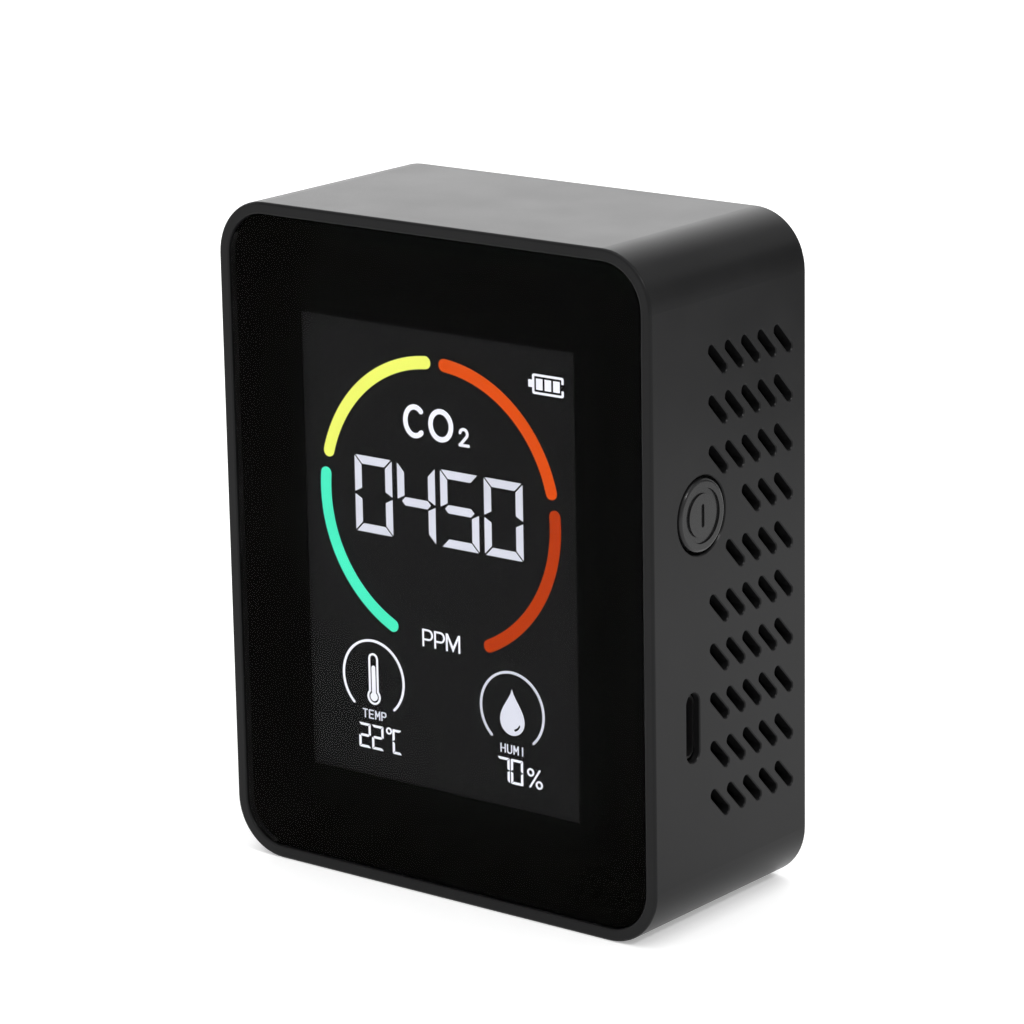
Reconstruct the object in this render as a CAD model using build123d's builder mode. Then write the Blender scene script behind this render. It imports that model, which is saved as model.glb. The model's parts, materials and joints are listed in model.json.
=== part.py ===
"""Carbon dioxide monitor: a desk-top air quality meter in a black moulded case.

Frame: +Z up, the display faces -Y, +X is the side with the power button and the charging
port.  The origin is the centre of the base.  All sizes are in millimetres.
Depths are measured backwards (+Y) from the front rim of the case.
"""
from build123d import *

import math
import os

os.makedirs("parts", exist_ok=True)

# ---------------------------------------------------------------- driving dimensions
WIDTH = 74.3
HEIGHT = 95.0
DEPTH = 35.3
CORNER_R = 8.0
WALL = 1.9
EDGE_R = 0.4
MID_Z = HEIGHT / 2
FRONT_Y = -DEPTH / 2
SIDE_X = WIDTH / 2
INNER_X = SIDE_X - WALL
TOUCH = 0.05                      # gap between parts that rest on each other

# Front stack, as depths behind the rim
RIM = 1.7
RIM_EDGE_R = 0.25
LENS_RECESS = 0.35
LENS_T = 1.2
LENS_EDGE_R = 0.12
PRINT_T = 0.1
TAPE_T = 0.2
TAPE_INSET = 0.5
MASK_DEPTH = LENS_RECESS + LENS_T
TAPE_DEPTH = MASK_DEPTH + PRINT_T
POCKET_DEPTH = TAPE_DEPTH + TAPE_T
FRONT_WALL_T = 1.6
CAVITY_DEPTH = POCKET_DEPTH + FRONT_WALL_T
LENS_GAP = 0.1

# Display
SCREEN_W = 47.0
SCREEN_H = 65.0
POLARISER_T = 0.2
POLARISER_INSET = 0.4
GLASS_T = 0.55
GASKET_T = 0.4
GASKET_CLEAR = 0.4                # of the gasket, around the visible screen
GLASS_R = 0.5
SLAB_R = 0.3
POLARISER_DEPTH = TAPE_DEPTH + GASKET_T
FRONT_GLASS_DEPTH = POLARISER_DEPTH + POLARISER_T
REAR_GLASS_DEPTH = FRONT_GLASS_DEPTH + GLASS_T
REAR_POLARISER_DEPTH = REAR_GLASS_DEPTH + GLASS_T
BACKLIGHT_DEPTH = REAR_POLARISER_DEPTH + POLARISER_T
BACKLIGHT_T = 1.9
GLASS_W = 53.0
GLASS_TOP_Z = 83.2
POLARISER_W = GLASS_W - 2 * POLARISER_INSET
POLARISER_TOP_Z = GLASS_TOP_Z - POLARISER_INSET
FRONT_GLASS_BOTTOM_Z = 14.0
REAR_GLASS_BOTTOM_Z = 11.7
WINDOW_W = 54.0
WINDOW_TOP_Z = 83.7
WINDOW_BOTTOM_Z = 10.4
WINDOW_R = 0.8

# Circuit board
BOARD_DEPTH = 5.5
BOARD_T = 1.6
BOARD_BACK = BOARD_DEPTH + BOARD_T
BOARD_W = 69.4
BOARD_BOTTOM_Z = 9.7
BOARD_TOP_Z = 85.3
BOARD_SCREW_X = 31.2
BOARD_SCREW_Z = 34.1              # above and below the middle

# Rear cover
LIP = 1.1
COVER_GAP = 0.15
COVER_DEPTH = 33.1
COVER_T = 2.1
COVER_SCREW_INSET = 5.4

# Side wall features
VENT_LENGTH = 5.4
VENT_WIDTH = 1.45
VENT_ANGLE = 135
VENT_PITCH_Y = 3.76
VENT_PITCH_Z = 6.82
VENT_COLUMNS = 5
VENT_ROWS = 10
VENT_FIRST_DEPTH = 14.85
VENT_TOP_Z = 78.55
VENT_CHAMFER = 0.15
BUTTON_DEPTH = 10.95
BUTTON_Z = VENT_TOP_Z - 3 * VENT_PITCH_Z
BUTTON_HOLE_R = 5.4
BUTTON_CAP_R = 5.02
BUTTON_PROUD = 0.2
BUTTON_TRAVEL = 0.3
PORT_DEPTH = 8.74
PORT_Z = 29.2
PORT_LENGTH = 9.7
PORT_WIDTH = 2.95

# Lens and display outlines
LENS_W = WIDTH - 2 * (RIM + LENS_GAP)
LENS_H = HEIGHT - 2 * (RIM + LENS_GAP)
LENS_R = CORNER_R - RIM - LENS_GAP
SCREEN_Z = 47.6
GLASS_Z = (GLASS_TOP_Z + FRONT_GLASS_BOTTOM_Z) / 2
GLASS_H = GLASS_TOP_Z - FRONT_GLASS_BOTTOM_Z
WINDOW_Z = (WINDOW_TOP_Z + WINDOW_BOTTOM_Z) / 2
WINDOW_H = WINDOW_TOP_Z - WINDOW_BOTTOM_Z
BACKLIGHT_WALL = 1.2
GUIDE_W = GLASS_W - 2 * BACKLIGHT_WALL
GUIDE_H = GLASS_H - 2 * BACKLIGHT_WALL
PIN_T = 0.25
PIN_W = 0.45
PIN_PITCH = 1.8
PIN_COUNT = 24
PIN_FINGER = 1.7

# Lit symbols, measured from the middle of the screen
SYMBOL_T = 0.1
SYMBOL_Y = 19.5                   # middle of the gas symbol
SYMBOL_LINE = 0.72
INDEX_LINE = 0.4
GAUGE_CENTRE = (-0.3, 7.97)
GAUGE_R = 20.03
GAUGE_W = 1.8
DIGIT_W = 6.56
DIGIT_H = 10.8
DIGIT_BAR = 1.15
DIGIT_GAP = 0.2
DIGIT_PITCH = 7.56
READING_CORNER = (-15.0, 2.6)
SMALL_W = 2.05
SMALL_H = 3.56
SMALL_BAR = 0.33
SMALL_GAP = 0.07
SMALL_PITCH = 2.32
TEMPERATURE_Y = -28.8             # bottom of each small reading
HUMIDITY_Y = -29.2
DEGREE_R = 0.4
PERCENT_R = 0.46
PERCENT_LINE = 0.26
CAPTION_W = 0.72
CAPTION_H = 1.15
CAPTION_PITCH = 1.12
CAPTION_LINE = 0.15
UNIT_Y = -12.2
UNIT_H = 2.5
UNIT_LINE = 0.26
DIAL_R = 5.4
DIAL_W = 0.34
DIAL_ANGLES = (-48, 228)
DROP_R = 2.08

# Rear cover
COVER_W = WIDTH - 2 * (LIP + COVER_GAP)
COVER_H = HEIGHT - 2 * (LIP + COVER_GAP)
COVER_EDGE_R = 0.25
COVER_POCKET = 1.0                # depth of the screw heads' pockets
COVER_HEAD_R = 2.0
COVER_HEAD_T = 0.9
COVER_SHANK_R = 1.05
COVER_SHANK_L = 9.0
COVER_CROSS = 2.6                 # length of the cross recess
SCREW_CLEAR = 0.3
LABEL_W = 44.0
LABEL_H = 26.0
LABEL_Z = 30.0
LABEL_RECESS = 0.3
LABEL_R = 1.5
REAR_VENT_Z = 68.0
REAR_VENT_PITCH_X = 5.4
REAR_VENT_COLUMNS = 7
REAR_VENT_ROWS = 3
RIB_L = 44.0
RIB_T = 1.2
RIB_H = 1.8
RIB_Z = MID_Z - WALL - COVER_GAP - RIB_T / 2

# Parts on the board
BOARD_H = BOARD_TOP_Z - BOARD_BOTTOM_Z
BOARD_Z = (BOARD_TOP_Z + BOARD_BOTTOM_Z) / 2
BOARD_CORNER_R = 2.0
BOARD_HEAD_R = 1.7
BOARD_HEAD_T = 1.1
BOARD_SHANK_R = 0.8
BOARD_SHANK_L = 4.2
BOARD_CROSS = 1.9
CHIP_X = 4.0
CHIP_Z = 49.5
CHIP_SIZE = 7.0
CHIP_PINS = 12
CHIP_PIN_PITCH = 0.5
CHIP_PIN_W = 0.25
CHIP_PIN_L = 1.0
CHIP_PIN_T = 0.4
CHARGER_X = 24.0
CHARGER_Z = 45.5
COIL_X = 16.5
COIL_Z = 46.5
CRYSTAL_X = -5.5
CRYSTAL_Z = 49.5
SMALL_CHIPS = [(11.5 + 2.4 * column, 52.5 + 1.6 * row) for column in range(4) for row in range(3)]
BUZZER_X = 16.0
BUZZER_Z = 71.0
BUZZER_R = 4.8
BUZZER_H = 5.0
GAS_X = -10.0
GAS_Z = 70.0
GAS_W = 33.0
GAS_L = 20.0
GAS_STANDOFF = 2.0
GAS_BOARD_T = 1.0
GAS_CHAMBER_H = 6.5
GAS_TOP = GAS_STANDOFF + GAS_BOARD_T + GAS_CHAMBER_H
FILTER_W = 20.0
FILTER_L = 10.0
FILTER_T = 0.5
HUMID_X = -25.0
HUMID_Z = 49.0
HUMID_W = 12.0
HUMID_L = 15.5
HUMID_H = 5.5

# Battery and its plug
BATTERY_X = -5.0
BATTERY_Z = 26.5
BATTERY_W = 44.0
BATTERY_L = 28.0
BATTERY_H = 7.0
PAD_T = 1.0
SOCKET_X = 22.4
SOCKET_Z = 14.5
SOCKET_W = 5.9
SOCKET_L = 6.0
SOCKET_H = 4.6
PLUG_W = 4.6
PLUG_L = 6.4
PLUG_H = 3.2
PLUG_IN = 5.0
PLUG_END_Z = 19.2
LEAD_R = 0.6
LEAD_PITCH = 2.0
LEAD_LEVEL = 2.65
LEAD_UPPER_Z = 33.0
LEAD_LOWER_Z = 31.0
LEAD_BEND = 2.4

# Charging port shell, lying on the board
USB_MOUTH_X = SIDE_X - 1.05
USB_L = 7.3
USB_W = 8.94
USB_T = 3.16
USB_WALL = 0.3
USB_X = USB_MOUTH_X - 4.2
USB_LEG_PITCH_X = 3.8
USB_LEG_PITCH_Z = USB_W - 0.3
USB_LEG_L = 1.1
USB_LEG_T = 0.3
TONGUE_T = 0.6
TONGUE_W = 6.7

# Power button and the side-pressed switch behind it
BUTTON_FACE_X = SIDE_X + BUTTON_PROUD
FLANGE_X = INNER_X - TOUCH
FLANGE_R = 5.9
FLANGE_T = 0.9
FLANGE_FLAT = 3.4
STEM_R = 1.6
STEM_X = 30.6
MARK_R = 3.4
MARK_W = 0.8
MARK_BAR = 3.2
MARK_BAR_W = 0.65
MARK_CUT = 0.25
SWITCH_BACK_X = 25.2
SWITCH_T = 3.2
SWITCH_W = 6.0
SWITCH_H = 6.85
SWITCH_BORE_R = 2.45
SWITCH_BORE = 1.1
PLUNGER_R = 1.7
COLLAR_R = 2.2
PLUNGER_BACK_X = SWITCH_BACK_X + SWITCH_T - SWITCH_BORE + 0.25 + BUTTON_TRAVEL + TOUCH


# ---------------------------------------------------------------- helpers
def front_plane(depth, x=0.0, z=MID_Z):
    """A plane at a depth behind the rim, drawn as seen from the front; +normal is forwards."""
    return Plane(origin=(x, FRONT_Y + depth, z), x_dir=(1, 0, 0), z_dir=(0, -1, 0))


def side_plane(x):
    """A plane across X, where local x is the depth behind the rim and local y is the height."""
    return Plane(origin=(x, FRONT_Y, 0), x_dir=(0, 1, 0), z_dir=(1, 0, 0))


def save(part, label):
    """Labels a finished piece and writes it as parts/label.step."""
    part.label = label
    export_step(part, f"parts/{label}.step")


def vent_points(skipped=()):
    """Centres of the vent slots on a side plane, row by row from the top."""
    return [
        (VENT_FIRST_DEPTH + column * VENT_PITCH_Y, VENT_TOP_Z - row * VENT_PITCH_Z)
        for row in range(VENT_ROWS)
        for column in range(VENT_COLUMNS)
        if (row, column) not in skipped
    ]


# The button takes the place of three slots.
RIGHT_SKIPPED = {(3, 0), (3, 1), (4, 0)}


def corner_points(half_x, half_z):
    return [(sx * half_x, sz * half_z) for sx in (-1, 1) for sz in (-1, 1)]


COVER_SCREWS = corner_points(SIDE_X - COVER_SCREW_INSET, MID_Z - COVER_SCREW_INSET)
BOARD_SCREWS = corner_points(BOARD_SCREW_X, BOARD_SCREW_Z)


# ---------------------------------------------------------------- case
COVER_BOSS_R = 3.6
COVER_PILOT_R = 1.1
COVER_PILOT_L = 10.0
STANDOFF_R = 2.3
BOARD_PILOT_R = 0.85
BOARD_PILOT_L = 3.0
PORT_POCKET_L = 11.0
PORT_POCKET_W = 4.2
PORT_WALL_T = 1.0

with BuildPart() as front_housing:
    with BuildSketch(front_plane(0)):
        RectangleRounded(WIDTH, HEIGHT, CORNER_R)
    extrude(amount=-DEPTH)
    fillet(
        front_housing.faces().sort_by(Axis.Y)[0].edges()
        + front_housing.faces().sort_by(Axis.Y)[-1].edges(),
        EDGE_R,
    )
    with BuildSketch(front_plane(CAVITY_DEPTH)):
        RectangleRounded(WIDTH - 2 * WALL, HEIGHT - 2 * WALL, CORNER_R - WALL)
    extrude(amount=-DEPTH, mode=Mode.SUBTRACT)
    # Posts for the rear cover's screws, and standoffs for the board
    with BuildSketch(front_plane(CAVITY_DEPTH)):
        with Locations(*COVER_SCREWS):
            Circle(COVER_BOSS_R)
    extrude(amount=CAVITY_DEPTH - COVER_DEPTH)
    with BuildSketch(front_plane(CAVITY_DEPTH)):
        with Locations(*BOARD_SCREWS):
            Circle(STANDOFF_R)
    extrude(amount=CAVITY_DEPTH - BOARD_DEPTH)
    with BuildSketch(front_plane(COVER_DEPTH)):
        with Locations(*COVER_SCREWS):
            Circle(COVER_PILOT_R)
    extrude(amount=COVER_PILOT_L, mode=Mode.SUBTRACT)
    with BuildSketch(front_plane(BOARD_DEPTH)):
        with Locations(*BOARD_SCREWS):
            Circle(BOARD_PILOT_R)
    extrude(amount=BOARD_PILOT_L, mode=Mode.SUBTRACT)
    # Seat for the rear cover
    with BuildSketch(front_plane(COVER_DEPTH)):
        RectangleRounded(WIDTH - 2 * LIP, HEIGHT - 2 * LIP, CORNER_R - LIP)
    extrude(amount=-DEPTH, mode=Mode.SUBTRACT)
    # Pocket for the lens, and the window that the display stands in
    with BuildSketch(front_plane(POCKET_DEPTH)):
        RectangleRounded(WIDTH - 2 * RIM, HEIGHT - 2 * RIM, CORNER_R - RIM)
    extrude(amount=POCKET_DEPTH, mode=Mode.SUBTRACT)
    with BuildSketch(front_plane(POCKET_DEPTH, z=WINDOW_Z)):
        RectangleRounded(WINDOW_W, WINDOW_H, WINDOW_R)
    extrude(amount=-FRONT_WALL_T, mode=Mode.SUBTRACT)
    # Rounded inner edge of the rim
    rim_edges = front_housing.faces().sort_by(Axis.Y)[0].inner_wires()[0].edges()
    fillet(rim_edges, RIM_EDGE_R)
    # Vents in both sides, with chamfered mouths
    with BuildSketch(side_plane(SIDE_X)):
        with Locations(*vent_points(RIGHT_SKIPPED)):
            SlotOverall(VENT_LENGTH, VENT_WIDTH, rotation=VENT_ANGLE)
    extrude(amount=-WALL - TOUCH, mode=Mode.SUBTRACT)
    with BuildSketch(side_plane(-SIDE_X)):
        with Locations(*vent_points()):
            SlotOverall(VENT_LENGTH, VENT_WIDTH, rotation=VENT_ANGLE)
    extrude(amount=WALL + TOUCH, mode=Mode.SUBTRACT)
    # Button hole and charging port
    with BuildSketch(side_plane(SIDE_X)):
        with Locations((BUTTON_DEPTH, BUTTON_Z)):
            Circle(BUTTON_HOLE_R)
        with Locations((PORT_DEPTH, PORT_Z)):
            SlotOverall(PORT_LENGTH, PORT_WIDTH, rotation=90)
    extrude(amount=-WALL, mode=Mode.SUBTRACT)
    for wall_face in (
        front_housing.faces().filter_by(Axis.X).sort_by(Axis.X)[-1],
        front_housing.faces().filter_by(Axis.X).sort_by(Axis.X)[0],
    ):
        chamfer([e for wire in wall_face.inner_wires() for e in wire.edges()], VENT_CHAMFER)
    with BuildSketch(side_plane(SIDE_X - PORT_WALL_T)):
        with Locations((PORT_DEPTH, PORT_Z)):
            RectangleRounded(PORT_POCKET_W, PORT_POCKET_L, 1.0)
    extrude(amount=PORT_WALL_T - WALL, mode=Mode.SUBTRACT)
save(front_housing.part, "front_housing")


with BuildPart() as rear_cover:
    with BuildSketch(front_plane(COVER_DEPTH)):
        RectangleRounded(COVER_W, COVER_H, CORNER_R - LIP - COVER_GAP)
    extrude(amount=-COVER_T)
    fillet(rear_cover.faces().sort_by(Axis.Y)[-1].edges(), COVER_EDGE_R)
    # Recess for a rating label, left blank
    with BuildSketch(front_plane(COVER_DEPTH + COVER_T, z=LABEL_Z)):
        RectangleRounded(LABEL_W, LABEL_H, LABEL_R)
    extrude(amount=LABEL_RECESS, mode=Mode.SUBTRACT)
    # Vents behind the gas sensor
    with BuildSketch(front_plane(COVER_DEPTH + COVER_T, z=REAR_VENT_Z)):
        with GridLocations(REAR_VENT_PITCH_X, VENT_PITCH_Z, REAR_VENT_COLUMNS, REAR_VENT_ROWS):
            SlotOverall(VENT_LENGTH, VENT_WIDTH, rotation=VENT_ANGLE)
    extrude(amount=COVER_T, mode=Mode.SUBTRACT)
    # Screw pockets
    with BuildSketch(front_plane(COVER_DEPTH + COVER_T)):
        with Locations(*COVER_SCREWS):
            Circle(COVER_HEAD_R + SCREW_CLEAR)
    extrude(amount=COVER_POCKET, mode=Mode.SUBTRACT)
    with BuildSketch(front_plane(COVER_DEPTH)):
        with Locations(*COVER_SCREWS):
            Circle(COVER_SHANK_R + SCREW_CLEAR)
    extrude(amount=-COVER_T, mode=Mode.SUBTRACT)
    # Ribs that locate it between the top and bottom walls
    with BuildSketch(front_plane(COVER_DEPTH)):
        with Locations((0, RIB_Z), (0, -RIB_Z)):
            Rectangle(RIB_L, RIB_T)
    extrude(amount=RIB_H)
save(rear_cover.part, "rear_cover")


def screw(points, head_depth, head_r, head_t, shank_r, shank_l, cross):
    """Pan-head cross screws, driven forwards; head_depth is where the heads bear."""
    with BuildPart() as screws:
        with BuildSketch(front_plane(head_depth)):
            with Locations(*points):
                Circle(head_r)
        extrude(amount=-head_t)
        fillet(screws.faces().sort_by(Axis.Y).group_by(Axis.Y)[-1].edges(), head_t * 0.35)
        with BuildSketch(front_plane(head_depth)):
            with Locations(*points):
                Circle(shank_r)
        extrude(amount=shank_l)
        chamfer(screws.faces().group_by(Axis.Y)[0].edges(), shank_r * 0.4)
        with BuildSketch(front_plane(head_depth + head_t)):
            with Locations(*points):
                Rectangle(cross, cross * 0.25, rotation=45)
                Rectangle(cross * 0.25, cross, rotation=45)
        extrude(amount=head_t * 0.6, mode=Mode.SUBTRACT)
    return screws.part


COVER_BEARING = COVER_DEPTH + COVER_T - COVER_POCKET
save(
    screw(
        COVER_SCREWS, COVER_BEARING, COVER_HEAD_R, COVER_HEAD_T, COVER_SHANK_R, COVER_SHANK_L, COVER_CROSS
    ),
    "rear_cover_screws",
)


# ---------------------------------------------------------------- lens
with BuildPart() as lens:
    with BuildSketch(front_plane(MASK_DEPTH)):
        RectangleRounded(LENS_W, LENS_H, LENS_R)
    extrude(amount=LENS_T)
    fillet(lens.faces().sort_by(Axis.Y)[0].edges(), LENS_EDGE_R)
save(lens.part, "lens")

with BuildPart() as lens_border_print:
    with BuildSketch(front_plane(MASK_DEPTH)):
        RectangleRounded(LENS_W, LENS_H, LENS_R)
    extrude(amount=-PRINT_T)
    with BuildSketch(front_plane(MASK_DEPTH, z=SCREEN_Z)):
        Rectangle(SCREEN_W, SCREEN_H)
    extrude(amount=-PRINT_T, mode=Mode.SUBTRACT)
save(lens_border_print.part, "lens_border_print")

with BuildPart() as lens_tape:
    with BuildSketch(front_plane(TAPE_DEPTH)):
        RectangleRounded(LENS_W - 2 * TAPE_INSET, LENS_H - 2 * TAPE_INSET, LENS_R - TAPE_INSET)
    extrude(amount=-TAPE_T)
    with BuildSketch(front_plane(TAPE_DEPTH, z=WINDOW_Z)):
        RectangleRounded(WINDOW_W + TAPE_INSET, WINDOW_H + TAPE_INSET, WINDOW_R)
    extrude(amount=-TAPE_T, mode=Mode.SUBTRACT)
save(lens_tape.part, "lens_tape")


# ---------------------------------------------------------------- display
def slab(depth, thickness, width, bottom_z, top_z):
    """A flat plate facing the front, from depth backwards."""
    with BuildPart() as plate:
        with BuildSketch(front_plane(depth, z=(bottom_z + top_z) / 2)):
            RectangleRounded(width, top_z - bottom_z, SLAB_R)
        extrude(amount=-thickness)
    return plate.part


with BuildPart() as display_gasket:
    with BuildSketch(front_plane(TAPE_DEPTH, z=GLASS_Z)):
        RectangleRounded(GLASS_W, GLASS_H, GLASS_R)
    extrude(amount=-GASKET_T)
    with BuildSketch(front_plane(TAPE_DEPTH, z=SCREEN_Z)):
        RectangleRounded(SCREEN_W + 2 * GASKET_CLEAR, SCREEN_H + 2 * GASKET_CLEAR, GLASS_R)
    extrude(amount=-GASKET_T, mode=Mode.SUBTRACT)
save(display_gasket.part, "display_gasket")

save(
    slab(
        POLARISER_DEPTH,
        POLARISER_T,
        POLARISER_W,
        FRONT_GLASS_BOTTOM_Z + POLARISER_INSET,
        POLARISER_TOP_Z,
    ),
    "front_polariser",
)
save(
    slab(FRONT_GLASS_DEPTH, GLASS_T, GLASS_W, FRONT_GLASS_BOTTOM_Z, GLASS_TOP_Z),
    "lcd_front_glass",
)
save(
    slab(REAR_GLASS_DEPTH, GLASS_T, GLASS_W, REAR_GLASS_BOTTOM_Z, GLASS_TOP_Z),
    "lcd_rear_glass",
)
save(
    slab(REAR_POLARISER_DEPTH, POLARISER_T, POLARISER_W, FRONT_GLASS_BOTTOM_Z, POLARISER_TOP_Z),
    "rear_polariser",
)

with BuildPart() as backlight_frame:
    with BuildSketch(front_plane(BACKLIGHT_DEPTH, z=GLASS_Z)):
        RectangleRounded(GLASS_W, GLASS_H, GLASS_R)
        Rectangle(GUIDE_W + 2 * TOUCH, GUIDE_H + 2 * TOUCH, mode=Mode.SUBTRACT)
    extrude(amount=-BACKLIGHT_T)
save(backlight_frame.part, "backlight_frame")

with BuildPart() as backlight_guide:
    with BuildSketch(front_plane(BACKLIGHT_DEPTH, z=GLASS_Z)):
        Rectangle(GUIDE_W, GUIDE_H)
    extrude(amount=-BACKLIGHT_T)
save(backlight_guide.part, "backlight_guide")

# Clip pins that hold the ledge of the rear glass and stand on the board
with BuildPart() as lcd_pins:
    with BuildSketch(front_plane(REAR_GLASS_DEPTH, z=REAR_GLASS_BOTTOM_Z - PIN_T)):
        with GridLocations(PIN_PITCH, 0, PIN_COUNT, 1):
            Rectangle(PIN_W, PIN_FINGER, align=(Align.CENTER, Align.MIN))
    extrude(amount=PIN_T)
    with BuildSketch(front_plane(REAR_GLASS_DEPTH, z=REAR_GLASS_BOTTOM_Z - PIN_T)):
        with GridLocations(PIN_PITCH, 0, PIN_COUNT, 1):
            Rectangle(PIN_W, PIN_T - TOUCH, align=(Align.CENTER, Align.MIN))
    extrude(amount=REAR_GLASS_DEPTH - BOARD_DEPTH)
save(lcd_pins.part, "lcd_pins")


# ---------------------------------------------------------------- lit symbols
def symbol_plane():
    """The plane of the lit symbols, with the middle of the screen as its origin."""
    return front_plane(POLARISER_DEPTH, z=SCREEN_Z)


def round_stroke(start, end, width):
    """Adds a straight stroke with round ends to the sketch in hand."""
    run = Vector(end) - Vector(start)
    middle = (Vector(end) + Vector(start)) / 2
    angle = math.degrees(math.atan2(run.Y, run.X))
    with Locations(middle):
        SlotCenterToCenter(run.length, width, rotation=angle)


def strokes(points, width):
    for start, end in zip(points, points[1:]):
        round_stroke(start, end, width)


def square_stroke(start, end, width):
    """Adds a straight stroke with square ends to the sketch in hand."""
    run = Vector(end) - Vector(start)
    angle = math.degrees(math.atan2(run.Y, run.X))
    with Locations((Vector(end) + Vector(start)) / 2):
        Rectangle(run.length, width, rotation=angle)


def curve(centre, radius, start, end, width, mode=Mode.ADD):
    """Adds an arc with round ends to the sketch in hand; angles in degrees, anticlockwise."""
    with BuildLine(mode=Mode.PRIVATE) as path:
        CenterArc(centre, radius, start, end - start)
    SlotArc(path.edge(), width, mode=mode)


def ring(centre, radius, width):
    with Locations(centre):
        Circle(radius + width / 2)
        Circle(radius - width / 2, mode=Mode.SUBTRACT)


def digit_bars(corner, width, height, thick, gap, lit):
    """Adds the lit bars of one seven-bar digit, whose bottom left corner is given."""
    middle = height / 2
    top = [(gap, height), (width - gap, height), (width - thick - gap, height - thick)]
    top.append((thick + gap, height - thick))
    side = [(0, height - gap), (0, middle + gap), (thick, middle + thick / 2 + gap)]
    side.append((thick, height - thick - gap))
    shoulder = thick + gap
    centre = [(thick / 2 + gap, middle), (shoulder, middle + thick / 2)]
    centre += [(width - shoulder, middle + thick / 2), (width - thick / 2 - gap, middle)]
    centre += [(width - shoulder, middle - thick / 2), (shoulder, middle - thick / 2)]
    outlines = {
        "a": top,
        "b": [(width - x, y) for x, y in side],
        "c": [(width - x, height - y) for x, y in side],
        "d": [(x, height - y) for x, y in top],
        "e": [(x, height - y) for x, y in side],
        "f": side,
        "g": centre,
    }
    for name in lit:
        points = [(corner[0] + x, corner[1] + y) for x, y in outlines[name]]
        Polygon(*points, align=None)


LIT_BARS = {"0": "abcdef", "2": "abged", "4": "fgbc", "5": "afgcd", "7": "abc", "C": "afed"}


def number(text, corner, width, height, thick, pitch, gap):
    for place, character in enumerate(text):
        digit_bars((corner[0] + place * pitch, corner[1]), width, height, thick, gap, LIT_BARS[character])


# Colour gauge: four arcs that run clockwise from green to red
GAUGE_ARCS = {"green": (171.7, 247.3), "yellow": (92.6, 167.1), "orange": (11.4, 88.3), "red": (-67.8, 7.2)}
GAUGE_CAP = math.degrees(GAUGE_W / 2 / GAUGE_R)
for colour, (gauge_start, gauge_end) in GAUGE_ARCS.items():
    with BuildPart() as gauge_arc:
        with BuildSketch(symbol_plane()):
            curve(GAUGE_CENTRE, GAUGE_R, gauge_start + GAUGE_CAP, gauge_end - GAUGE_CAP, GAUGE_W)
        extrude(amount=SYMBOL_T)
    save(gauge_arc.part, f"gauge_arc_{colour}")

with BuildPart() as reading_digits:
    with BuildSketch(symbol_plane()):
        number("0450", READING_CORNER, DIGIT_W, DIGIT_H, DIGIT_BAR, DIGIT_PITCH, DIGIT_GAP)
    extrude(amount=SYMBOL_T)
save(reading_digits.part, "reading_digits")

with BuildPart() as gas_symbol:
    with BuildSketch(symbol_plane()):
        # The C, open by 96 degrees on its right, with round ends
        with BuildLine(mode=Mode.PRIVATE) as open_oval:
            EllipticalCenterArc((-4.14, SYMBOL_Y), 1.65, 2.0, 48, arc_size=264)
        trace(open_oval.edge(), SYMBOL_LINE)
        with Locations(open_oval.edge() @ 0, open_oval.edge() @ 1):
            Circle(SYMBOL_LINE / 2)
        # The O
        with Locations((0.4, SYMBOL_Y)):
            Ellipse(1.78 + SYMBOL_LINE / 2, 1.95 + SYMBOL_LINE / 2)
            Ellipse(1.78 - SYMBOL_LINE / 2, 1.95 - SYMBOL_LINE / 2, mode=Mode.SUBTRACT)
        # The small 2
        curve((4.35, SYMBOL_Y - 0.6), 0.62, -35, 172, INDEX_LINE)
        round_stroke((4.85, SYMBOL_Y - 0.96), (3.8, SYMBOL_Y - 2.1), INDEX_LINE)
        square_stroke((3.5, SYMBOL_Y - 2.2), (5.3, SYMBOL_Y - 2.2), INDEX_LINE)
    extrude(amount=SYMBOL_T)
save(gas_symbol.part, "gas_symbol")


def letter_p(x, y, height, width):
    """A capital P whose lower left corner is at (x, y)."""
    bowl = height * 0.27
    turn_x = x + height * 0.42
    upper_y = y + height - width / 2
    square_stroke((x + width / 2, y), (x + width / 2, y + height), width)
    square_stroke((x, upper_y), (turn_x, upper_y), width)
    square_stroke((x, upper_y - 2 * bowl), (turn_x, upper_y - 2 * bowl), width)
    curve((turn_x, upper_y - bowl), bowl, -90, 90, width)


def letter_m(x, y, height, width):
    """A capital M whose lower left corner is at (x, y)."""
    across = height * 0.98
    middle = x + across / 2
    left_half = [(x, y), (x, y + height), (x + width * 1.15, y + height), (middle, y + height * 0.3)]
    right_half = [(2 * middle - px, py) for px, py in reversed(left_half[:3])]
    inner = [(x + across - width, y), (x + across - width, y + height * 0.8), (middle, y)]
    inner += [(x + width, y + height * 0.8), (x + width, y)]
    Polygon(*left_half, *right_half, *inner, align=None)


with BuildPart() as unit_symbol:
    with BuildSketch(symbol_plane()):
        letter_p(-3.66, UNIT_Y, UNIT_H, UNIT_LINE)
        letter_p(-1.56, UNIT_Y, UNIT_H, UNIT_LINE)
        letter_m(0.5, UNIT_Y, UNIT_H, UNIT_LINE)
    extrude(amount=SYMBOL_T)
save(unit_symbol.part, "unit_symbol")

CHARGE_X = 18.83                  # the battery symbol's middle
CHARGE_Y = 27.45
CHARGE_W = 5.2
CHARGE_H = 2.75
CHARGE_LINE = 0.3
CHARGE_PITCH = 1.43

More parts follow.
